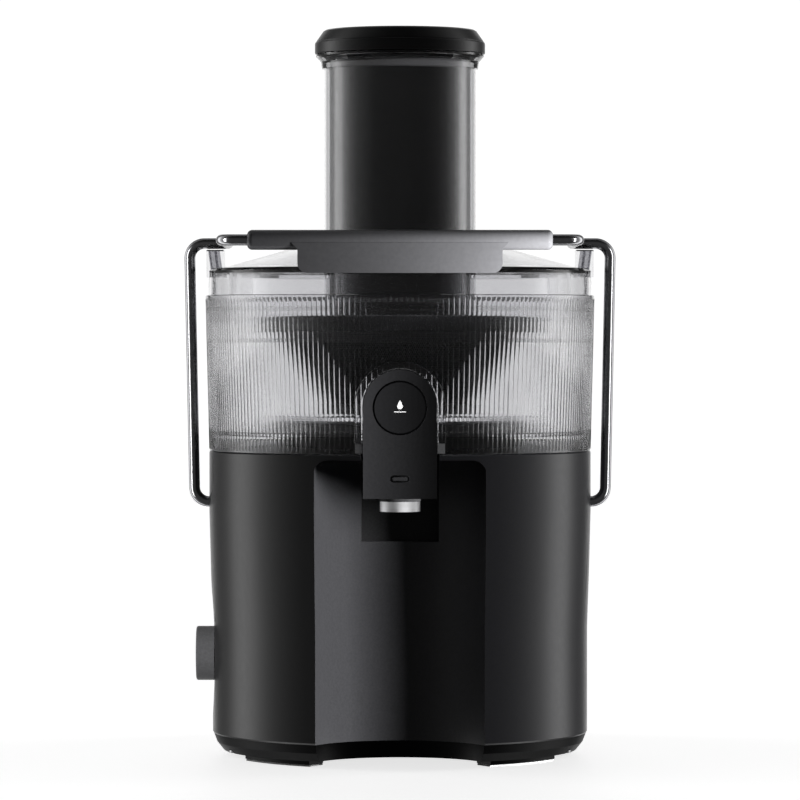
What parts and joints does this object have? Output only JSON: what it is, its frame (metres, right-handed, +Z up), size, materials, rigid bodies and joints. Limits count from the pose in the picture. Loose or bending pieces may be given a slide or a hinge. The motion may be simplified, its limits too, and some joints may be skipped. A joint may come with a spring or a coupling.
{
  "type": "centrifugal juicer",
  "caption": "Countertop centrifugal juicer with clear bowl and lid, wide feed chute and pusher, wire bail, drip-stop spout, side knob and rear pulp container.",
  "frame": {"origin": "centre of the footprint at table level; the drive axis stands 22.5 mm in front of it", "axes": "+Z up along the drive axis, -Y towards the user and the spout, +X to the user's right; the knob is on -X"},
  "size_m": [0.237, 0.281, 0.398],
  "materials": {
    "housing_black": "fine-textured moulded plastic",
    "tray_black": "moulded plastic",
    "foot_grey": "soft grey rubber",
    "screw_steel": "zinc plated",
    "deck_black": "moulded plastic",
    "bush_black": "nylon",
    "switch_plastic": "moulded plastic",
    "board_green": "solder resist",
    "capacitor_yellow": "moulded plastic",
    "aluminium_plain": "die cast",
    "lamination": "stacked sheet steel",
    "copper_wire": "enamelled copper wire",
    "bronze": "sintered bronze and brass",
    "carbon": "pressed carbon",
    "spring_steel": "drawn wire",
    "rubber_black": "moulded rubber",
    "clear_bowl": "clear fluted plastic",
    "clear_lid": "clear plastic",
    "clear_chute": "clear, slightly smoked plastic",
    "spout_black": "satin plastic",
    "nozzle_steel": "brushed",
    "clip_grey": "moulded plastic",
    "window_grey": "smoked plastic",
    "silicone_grey": "silicone",
    "shaft_steel": "ground steel",
    "basket_black": "moulded plastic",
    "basket_steel": "etched stainless sheet",
    "bail_wire": "dark polished chrome",
    "bail_bar": "dark satin metallic",
    "pusher_black": "satin plastic",
    "cap_black": "satin plastic",
    "button_black": "satin plastic",
    "knob_black": "satin plastic",
    "bin_black": "fine-textured moulded plastic"
  },
  "bodies": {
    "base": {"motor_housing": "housing_black", "base_tray": "tray_black", "foot_pads": "foot_grey", "housing_screws": "screw_steel", "top_deck": "deck_black", "pivot_bushes": "bush_black", "rotary_switch": "switch_plastic", "control_board": "board_green", "suppression_capacitor": "capacitor_yellow", "heat_sink": "aluminium_plain", "interlock_switch": "switch_plastic", "upper_bracket": "aluminium_plain", "lower_bracket": "aluminium_plain", "stator_core": "lamination", "field_windings": "copper_wire", "upper_bush": "bronze", "lower_bush": "bronze", "brush_holders": "bronze", "carbon_brushes": "carbon", "brush_springs": "spring_steel", "motor_dampers": "rubber_black", "motor_bolts": "screw_steel", "cord_gland": "rubber_black", "shaft_seal": "rubber_black", "collector_bowl": "clear_bowl", "spout_housing": "spout_black", "spout_nozzle": "nozzle_steel", "spout_clips": "clip_grey", "status_window": "window_grey", "button_springs": "spring_steel", "lid_cover": "clear_lid", "feed_chute": "clear_chute", "lid_seal": "silicone_grey", "pulp_guide": "clear_lid"},
    "rotor": {"motor_shaft": "shaft_steel", "armature_core": "lamination", "armature_windings": "copper_wire", "commutator": "bronze", "cooling_fan": "switch_plastic", "drive_coupling": "bush_black", "basket_hub": "basket_black", "grater_disc": "basket_steel", "filter_mesh": "basket_steel", "basket_rim": "basket_black"},
    "bail": {"bail_arm_left": "bail_wire", "bail_arm_right": "bail_wire", "bail_grip": "bail_bar", "bail_plate": "bail_bar", "bail_collars": "spring_steel"},
    "pusher": {"pusher_tube": "pusher_black", "pusher_cap": "cap_black"},
    "button": {"drip_stop_button": "button_black", "valve_plug": "silicone_grey"},
    "knob": {"speed_knob": "knob_black", "knob_spindle": "shaft_steel"},
    "bin": {"pulp_container": "bin_black"}
  },
  "joints": [
    {"name": "bail_swing", "type": "hinge", "parent": "base", "child": "bail", "pos_m": [0, -0.0225, 0.139], "axis": [1, 0, 0], "range_deg": [0, 90]},
    {"name": "pusher_slide", "type": "slide", "parent": "base", "child": "pusher", "axis": [0, 0, 1], "range_m": [0, 0.18]},
    {"name": "rotor_spin", "type": "hinge", "parent": "base", "child": "rotor", "pos_m": [0, -0.0225, 0.15], "axis": [0, 0, 1], "continuous": true},
    {"name": "button_press", "type": "slide", "parent": "base", "child": "button", "axis": [0, 1, 0], "range_m": [0, 0.0032], "stiffness_N_per_m": 500, "springref_m": -0.004, "deforming": ["button_springs"]},
    {"name": "knob_turn", "type": "hinge", "parent": "base", "child": "knob", "pos_m": [-0.105, -0.0225, 0.0556], "axis": [-1, 0, 0], "range_deg": [0, 90]},
    {"name": "bin_slide", "type": "slide", "parent": "base", "child": "bin", "axis": [0, 1, 0], "range_m": [0, 0.1]}
  ]
}
